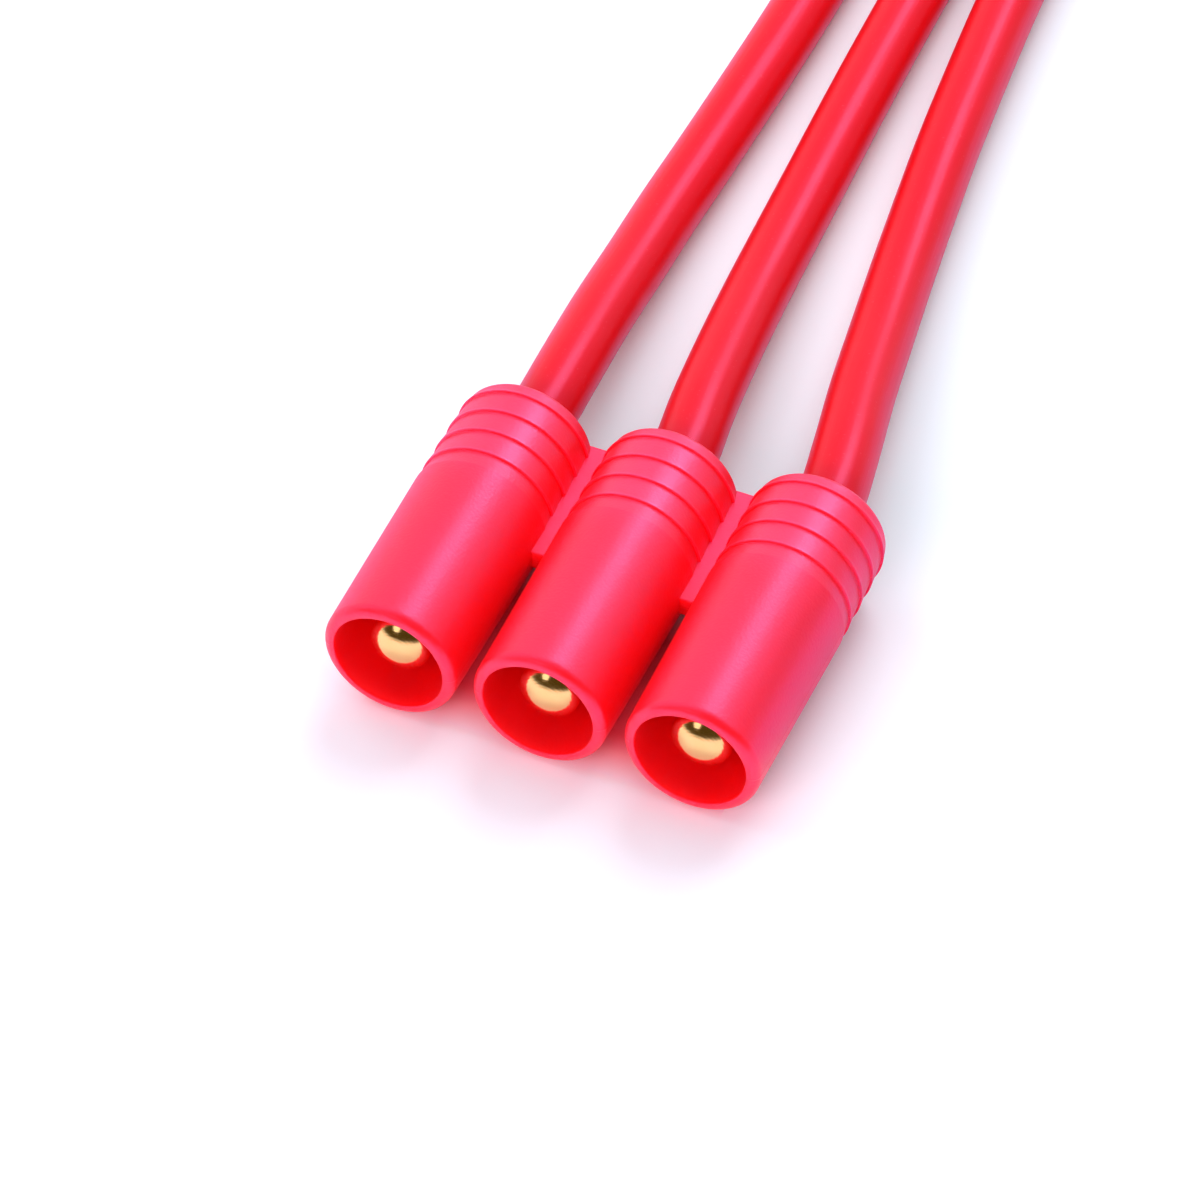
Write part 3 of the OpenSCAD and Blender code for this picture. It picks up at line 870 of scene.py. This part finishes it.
def cage_maker():
    """Turns leaves about the axis, adds the bands and repeats the cage for each pole."""
    maker = Maker("lantern_cage", Leaves=int, Poles=int, Pitch=float, Seam=float)
    leaves, pitch, poles = maker.given("Leaves"), maker.given("Pitch"), maker.given("Poles")
    spots = maker.node("GeometryNodeMeshLine", {"mode": "OFFSET"}, {"Count": leaves, "Offset": (0, 0, 0)})
    angle = (maker.node("GeometryNodeInputIndex") + 0.5) * (2 * math.pi) / leaves
    turn = maker.node("ShaderNodeCombineXYZ", None, {"Y": angle})
    turn = maker.node("FunctionNodeEulerToRotation", None, {"Euler": turn})
    copies = {"Points": spots, "Instance": maker.given("Geometry"), "Rotation": turn}
    parts = [maker.node("GeometryNodeInstanceOnPoints", None, copies)]
    sweep = 2 * math.pi - maker.given("Seam")
    hoop = {"Resolution": BAND_SIDES, "Radius": (BAND_R + LEAF_T / 2) * MM, "Sweep Angle": sweep}
    hoop = maker.node("GeometryNodeCurveArc", {"mode": "RADIUS"}, hoop)
    strip = {"Width": LEAF_T * MM, "Height": BAND_LENGTH * MM}
    strip = maker.node("GeometryNodeCurvePrimitiveQuadrilateral", {"mode": "RECTANGLE"}, strip)
    band = {"Curve": hoop, "Profile Curve": strip, "Fill Caps": True}
    band = maker.node("GeometryNodeCurveToMesh", None, band)
    upright = (math.pi / 2, 0, 0)
    for middle in (CAGE_FRONT + BAND_LENGTH / 2, CAGE_BACK - BAND_LENGTH / 2):
        there = (0, MOUTH_Y + middle * MM, 0)
        moved = {"Geometry": band, "Rotation": upright, "Translation": there}
        parts.append(maker.node("GeometryNodeTransform", None, moved))
    cage = maker.node("GeometryNodeJoinGeometry", None, {"Geometry": parts})
    first = maker.node("ShaderNodeCombineXYZ", None, {"X": pitch * (poles - 1) * -0.5, "Z": AXIS_Z})
    step = maker.node("ShaderNodeCombineXYZ", None, {"X": pitch})
    line = {"Count": poles, "Start Location": first, "Offset": step}
    line = maker.node("GeometryNodeMeshLine", {"mode": "OFFSET"}, line)
    return maker.end(maker.node("GeometryNodeInstanceOnPoints", None, {"Points": line, "Instance": cage}))


spring_gold = gold_plate("gold_spring_strip", 0.05, colour(0.93, 0.64, 0.27), colour(0.99, 0.72, 0.34))
cage_sizes = {"Leaves": LEAF_COUNT, "Poles": len(POLES), "Pitch": POLE_PITCH, "Seam": SEAM_ANGLE}
cages = grow("spring_cages", cage_maker(), leaf, spring_gold, **cage_sizes)
crease(cages)
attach(cages, "root")
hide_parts(*("spring_cage_" + side for side in POLES))
print("cages:", len(cages.data.polygons), "faces")

# %% [markdown]
# ## The solder
# The solder fills each cup round the strands. It could be built again like the rest, but its solid already
# has the right shape. So the frame's own node stays and only gets a finish: grey tin, dull where it cooled
# last.

# %% Solder finish
def dull_solder():
    """Grey tin with crystals of two tones."""
    finish = Finish("dull_solder", Metallic=1.0)
    crystals = finish.noise(finish.where(), scale=2600, detail=4.0)
    grey = finish.tint(crystals, colour(0.52, 0.53, 0.55), colour(0.72, 0.72, 0.73))
    finish.paint(grey, 0.24 + 0.3 * crystals)
    finish.relief(crystals, 0.02 * MM)
    return finish.material


solder = dull_solder()
for side in POLES:
    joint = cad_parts["solder_joint_" + side]
    joint.data.materials.clear()
    joint.data.materials.append(solder)

# %% [markdown]
# ## The table
# The connector lies on white paper. A very strong light would make any paper white, but it would also wash
# out the shadows. So the paper is whiter for the camera than for the light that it throws back, most of all
# far away, and the shadows stay. Mirror rays see it darker beside and behind the part, or the outer edges
# would go pale. Under the housing it is given a red cast, for the light that goes to and fro between paper
# and plastic more often than a render follows.

# %% White paper
SEEN_WHITE, MIRRORED_WHITE = colour(0.83, 1.07, 1.17), colour(0.55, 0.66, 1.05)
FAR_WHITE, FAR_MIRRORED, RED_CAST = colour(1.9, 1.9, 1.9), colour(1.15, 1.15, 1.15), colour(0.8, 0.10, 0.16)
PAPER_HALF = 3.0


def white_paper():
    """White with a hint of fibre, in tones that depend on the kind of ray."""
    finish = Finish("white_paper", Roughness=0.9, Specular_IOR_Level=0.1)
    where = finish.where()
    fibre = finish.noise(where, scale=300, detail=3.0)
    spot = finish.node("ShaderNodeSeparateXYZ", None, {"Vector": where})
    under = finish.between(spot.out("Y"), -9.4 * MM, -5.4 * MM) * (abs(spot) < 10.0 * MM)
    cast = under * (1 - finish.between(spot.out("Y"), 1.0 * MM, 5.0 * MM))
    far = finish.between(finish.length(where), 0.12, 0.35)
    path = finish.node("ShaderNodeLightPath", None, None, "Is Camera Ray")
    mirrored = path.out("Is Glossy Ray") + path.out("Is Transmission Ray")
    seen = (path + mirrored) > 0.5
    beside = (mirrored > 0.5) * finish.between(spot.out("Y"), -6.0 * MM, 0.0)
    near_white = finish.tint(beside, SEEN_WHITE, MIRRORED_WHITE)
    far_white = finish.tint(path, FAR_MIRRORED, FAR_WHITE)
    seen_white = finish.tint(cast, finish.tint(far, near_white, far_white), RED_CAST)
    plain = finish.tint(fibre, colour(0.87, 0.87, 0.88), colour(0.90, 0.90, 0.91))
    finish.plug(finish.shader, "Base Color", finish.tint(seen, plain, seen_white))
    return finish.material


paper = bmesh.new()
bmesh.ops.create_grid(paper, x_segments=1, y_segments=1, size=PAPER_HALF)
floor = place("paper", as_mesh("paper", paper))
floor.data.materials.append(white_paper())
print("paper is", round(floor.dimensions.x), "m wide")

# %% [markdown]
# ## The tent
# Small shiny things are photographed in a light tent, which gives a soft light from all round. A picture of
# a studio would do as a world too, but a few sums are easier to change. The tent is white for the camera
# and nearly white for mirror rays, so plastic and gold have something to mirror. Mirror rays alone also see
# a dark room over its front, which gives the noses their contrast, and a grey wall low on the right, which
# keeps the right sides a full red.

# %% Light tent
TENT_LIGHT, TENT_SEEN, TENT_MIRRORED = 0.50, 1.00, 0.90


def tent():
    """A world of soft white light, with a dark room and a grey wall for mirror rays."""
    world = bpy.data.worlds.new("light_tent")
    world.use_nodes = True
    board = Board(world.node_tree)
    way = board.node("ShaderNodeTexCoord", None, None, "Generated")
    right = board.node("ShaderNodeSeparateXYZ", None, {"Vector": way})
    height = right.out("Z")
    front = {0: way, 1: (math.sin(AZIMUTH), -math.cos(AZIMUTH), 0)}
    front = board.node("ShaderNodeVectorMath", {"operation": "DOT_PRODUCT"}, front, "Value")
    seen = board.node("ShaderNodeLightPath", None, None, "Is Camera Ray")
    mirrored = (seen.out("Is Glossy Ray") + seen.out("Is Transmission Ray")) > 0.5
    room = mirrored * board.between(height, 0.06, 0.14) * board.between(front, 0.0, 0.3)
    wall = mirrored * board.between(right, 0.35, 0.65) * (1 - board.between(height, 0.35, 0.65))
    cloth = board.tint(wall, colour(1.0, 1.0, 1.0), colour(0.4, 0.4, 0.4))
    cloth = board.tint(room, cloth, colour(0.08, 0.06, 0.01))
    strength = TENT_LIGHT + (TENT_SEEN - TENT_LIGHT) * seen + (TENT_MIRRORED - TENT_LIGHT) * mirrored
    background = world.node_tree.nodes["Background"]
    board.plug(background, "Color", cloth)
    board.plug(background, "Strength", strength)
    return world


scene.world = tent()
print("world:", scene.world.name, len(scene.world.node_tree.nodes), "nodes")

# %% [markdown]
# ## The softboxes
# A lamp does two things: it leaves a streak where a surface mirrors it, and it shades. One lamp rarely does
# both well, so here each does one. Two are for mirror rays alone: a tall one behind, which runs a highlight
# along each barrel, and a small weak one over the front, which puts a spark on each nose. Three light, but
# no mirror ray sees them: a key on the left, one behind the leads, and a rosy one low in front that shines
# into the mouths. The rosy one stands for the red light that the walls pass to and fro, which would take
# more bounces than a render follows.

# %% Softboxes
def softbox(name, direction, distance, size, power, mirrored, tint):
    """An oval lamp that faces the origin, and is either mirrored in surfaces or lights them."""
    lamp = bpy.data.lights.new(name, "AREA")
    lamp.shape, lamp.energy, lamp.color = "ELLIPSE", power, tint
    lamp.size, lamp.size_y = size
    held = place(name, lamp)
    held.location = Vector(direction).normalized() * distance
    held.rotation_euler = Vector(direction).to_track_quat("Z", "Y").to_euler()
    held.visible_glossy, held.visible_diffuse = mirrored, not mirrored


WHITE, ROSY = (1.0, 1.0, 1.0), (1.0, 0.40, 0.46)
# Name, direction from the origin, distance, width and height, watts, mirrored or not, tint
SOFTBOXES = [
    ("softbox_back", (0.146, 0.705, 0.695), 0.60, (0.20, 0.38), 0.82, True, WHITE),
    ("softbox_spark", (-0.30, -0.76, 0.57), 0.50, (0.18, 0.18), 0.12, True, WHITE),
    ("softbox_key", (-0.62, 0.14, 0.77), 0.50, (0.36, 0.36), 0.60, False, WHITE),
    ("softbox_rear", (0.02, 0.68, 0.73), 0.50, (0.36, 0.36), 1.25, False, WHITE),
    ("softbox_fill", (-0.08, -0.90, 0.42), 0.50, (0.40, 0.40), 2.90, False, ROSY),
]
for settings in SOFTBOXES:
    softbox(*settings)
